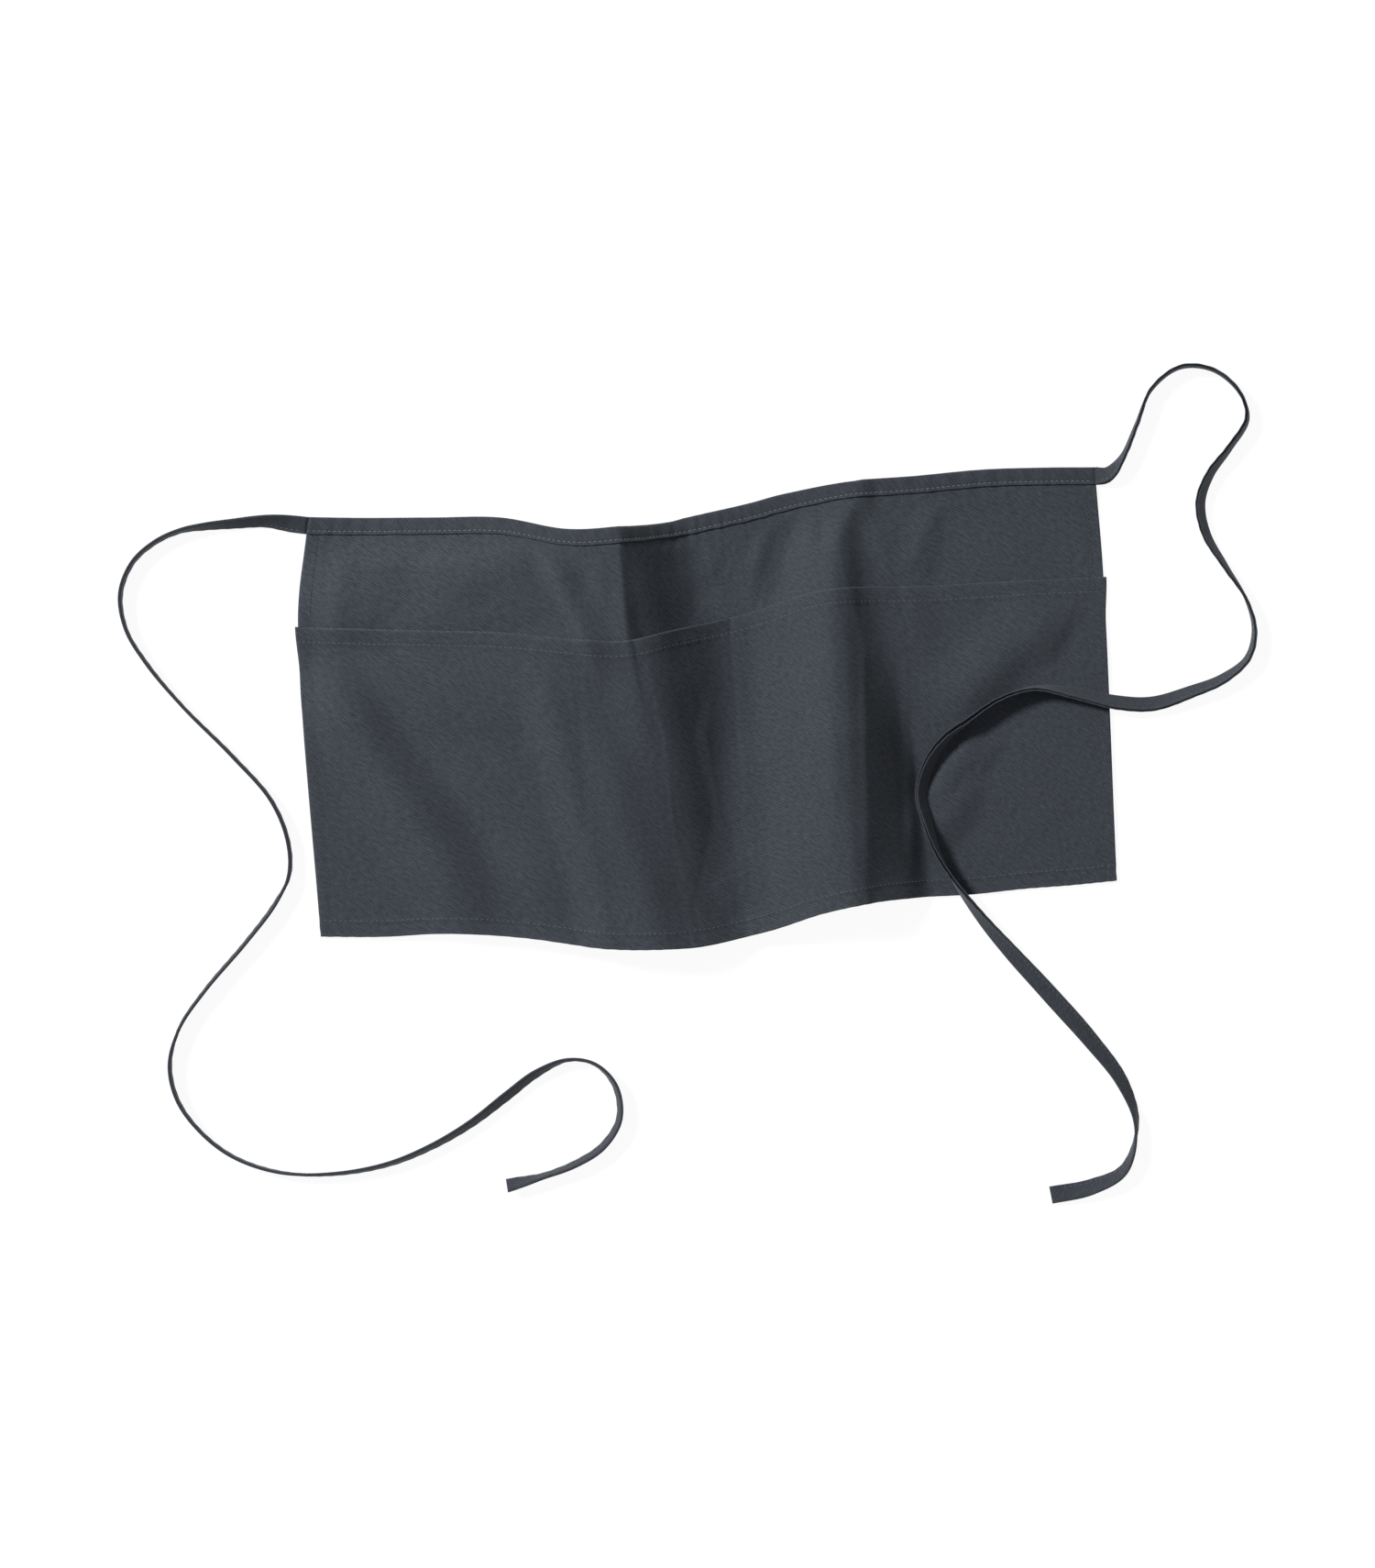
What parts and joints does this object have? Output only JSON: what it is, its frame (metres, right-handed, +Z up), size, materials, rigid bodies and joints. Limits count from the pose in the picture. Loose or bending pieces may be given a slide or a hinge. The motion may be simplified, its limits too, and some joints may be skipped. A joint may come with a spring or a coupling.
{
  "type": "waist apron",
  "caption": "Short waist apron of grey twill laid out flat, with side-by-side front pockets, a bound waistband and long loose tape ties.",
  "frame": {"origin": "on the surface that the apron lies on, under the middle of the apron's own box without its ties", "axes": "+X along the waistband towards the wearer's left hand, +Y from the bottom hem towards the waistband, +Z up out of the cloth's front"},
  "size_m": [0.8297, 0.6123, 0.0522],
  "materials": {
    "body_twill": "matte charcoal grey twill weave",
    "pocket_twill": "matte charcoal grey twill weave",
    "binding_tape": "matte charcoal grey twill, pressed and edge-stitched"
  },
  "bodies": {
    "root": {"apron_body": "body_twill", "pocket_panel": "pocket_twill", "waistband": "binding_tape", "tie_left": "binding_tape", "tie_right": "binding_tape"}
  },
  "joints": []
}
